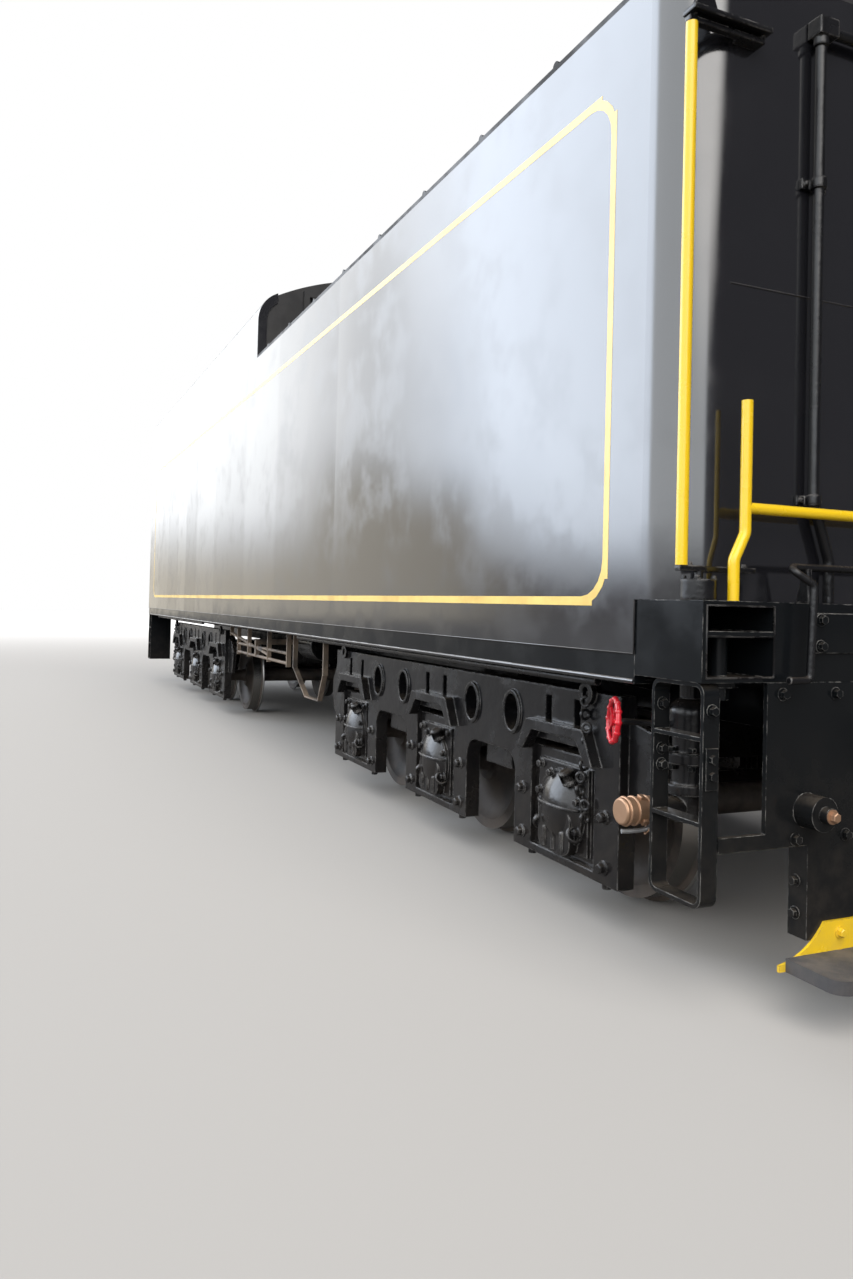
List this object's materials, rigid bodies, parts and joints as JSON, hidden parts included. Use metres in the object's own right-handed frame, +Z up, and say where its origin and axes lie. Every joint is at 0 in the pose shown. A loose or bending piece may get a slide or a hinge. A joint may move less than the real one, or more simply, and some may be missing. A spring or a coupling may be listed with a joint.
{
  "type": "steam locomotive tender",
  "caption": "Long coal and water tender of a steam locomotive: a flat-sided tank with a sunken coal bunker, rear coupler and steps, on two turning six-wheel trucks.",
  "frame": {"origin": "middle of the tender's length and width, at the lowest point of the wheel flanges, 28 mm below the rail's top", "axes": "+X to the tender's rear (its coupler), +Y to its right side, +Z up"},
  "size_m": [15.4, 3.0678, 4.9417],
  "materials": {
    "tank_black": "gloss black paint",
    "frame_black": "semi-gloss black paint on castings",
    "deck_black": "satin black paint with coal dust",
    "safety_yellow": "gloss yellow paint",
    "wheel_red": "gloss red paint",
    "cap_brass": "dull weathered brass",
    "wheel_steel": "dark oily steel with a bright tread",
    "rod_steel": "dusty brown painted steel",
    "board_grey": "dark grey non-slip paint",
    "lens_glass": "clear lamp glass"
  },
  "bodies": {
    "tender": {"underframe": "frame_black", "rear_end_sill": "frame_black", "front_end_sill": "frame_black", "drawbar_pocket": "frame_black", "front_buffer": "frame_black", "water_tank": "tank_black", "deck_edge_bead": "tank_black", "bunker_side_sheets": "tank_black", "bunker_rear_wall": "deck_black", "bunker_front_wall": "deck_black", "gate_hinge_pins": "deck_black", "hatch_coaming": "deck_black", "rear_ladder": "frame_black", "backup_lamp": "frame_black", "lamp_lens": "lens_glass", "lamp_conduit": "frame_black", "corner_grab_irons": "safety_yellow", "grab_iron_brackets": "frame_black", "end_railing": "safety_yellow", "stirrup_steps": "frame_black", "footboard_hangers": "frame_black", "footboards": "board_grey", "kick_plates": "safety_yellow", "drain_valve": "frame_black", "drain_hand_wheel": "wheel_red", "hose_cap": "cap_brass", "brake_cylinder": "frame_black", "air_reservoir": "frame_black", "brake_rodding": "rod_steel", "air_pipes": "frame_black", "front_steps": "frame_black", "front_grab_irons": "frame_black", "draft_pocket": "frame_black", "cut_lever": "frame_black"},
    "hatch_lid": {"hatch_lid": "deck_black"},
    "coal_gate_left": {"coal_gate_left": "deck_black"},
    "coal_gate_right": {"coal_gate_right": "deck_black"},
    "coupler": {"coupler_head": "frame_black"},
    "knuckle": {"coupler_knuckle": "frame_black"},
    "rear_truck": {"rear_truck_frame": "frame_black", "rear_truck_axle_boxes": "frame_black", "rear_truck_brakes": "frame_black"},
    "rear_wheelset_1": {"rear_wheelset_1": "wheel_steel"},
    "rear_wheelset_2": {"rear_wheelset_2": "wheel_steel"},
    "rear_wheelset_3": {"rear_wheelset_3": "wheel_steel"},
    "front_truck": {"front_truck_frame": "frame_black", "front_truck_axle_boxes": "frame_black", "front_truck_brakes": "frame_black"},
    "front_wheelset_1": {"front_wheelset_1": "wheel_steel"},
    "front_wheelset_2": {"front_wheelset_2": "wheel_steel"},
    "front_wheelset_3": {"front_wheelset_3": "wheel_steel"}
  },
  "joints": [
    {"name": "rear_truck_turn", "type": "hinge", "parent": "tender", "child": "rear_truck", "pos_m": [4.206, 0, 0.904], "axis": [0, 0, 1], "range_deg": [-6, 6]},
    {"name": "rear_wheelset_1_roll", "type": "hinge", "parent": "rear_truck", "child": "rear_wheelset_1", "pos_m": [5.73, 0, 0.485], "axis": [0, 1, 0], "continuous": true},
    {"name": "rear_wheelset_2_roll", "type": "hinge", "parent": "rear_truck", "child": "rear_wheelset_2", "pos_m": [4.206, 0, 0.485], "axis": [0, 1, 0], "continuous": true},
    {"name": "rear_wheelset_3_roll", "type": "hinge", "parent": "rear_truck", "child": "rear_wheelset_3", "pos_m": [2.682, 0, 0.485], "axis": [0, 1, 0], "continuous": true},
    {"name": "front_truck_turn", "type": "hinge", "parent": "tender", "child": "front_truck", "pos_m": [-4.328, 0, 0.904], "axis": [0, 0, 1], "range_deg": [-6, 6]},
    {"name": "front_wheelset_1_roll", "type": "hinge", "parent": "front_truck", "child": "front_wheelset_1", "pos_m": [-2.804, 0, 0.485], "axis": [0, 1, 0], "continuous": true},
    {"name": "front_wheelset_2_roll", "type": "hinge", "parent": "front_truck", "child": "front_wheelset_2", "pos_m": [-4.328, 0, 0.485], "axis": [0, 1, 0], "continuous": true},
    {"name": "front_wheelset_3_roll", "type": "hinge", "parent": "front_truck", "child": "front_wheelset_3", "pos_m": [-5.852, 0, 0.485], "axis": [0, 1, 0], "continuous": true},
    {"name": "coupler_swing", "type": "hinge", "parent": "tender", "child": "coupler", "pos_m": [6.65, 0, 0.904], "axis": [0, 0, 1], "range_deg": [-7, 7]},
    {"name": "knuckle_open", "type": "hinge", "parent": "coupler", "child": "knuckle", "pos_m": [7.47, -0.11, 0.904], "axis": [0, 0, -1], "range_deg": [0, 45]},
    {"name": "hatch_lid_lift", "type": "hinge", "parent": "tender", "child": "hatch_lid", "pos_m": [4.948, 0, 4.145], "axis": [0, -1, 0], "range_deg": [0, 110]},
    {"name": "coal_gate_left_swing", "type": "hinge", "parent": "tender", "child": "coal_gate_left", "pos_m": [-7.474, -0.505, 2.74], "axis": [0, 0, 1], "range_deg": [0, 90]},
    {"name": "coal_gate_right_swing", "type": "hinge", "parent": "tender", "child": "coal_gate_right", "pos_m": [-7.474, 0.505, 2.74], "axis": [0, 0, -1], "range_deg": [0, 90]}
  ]
}
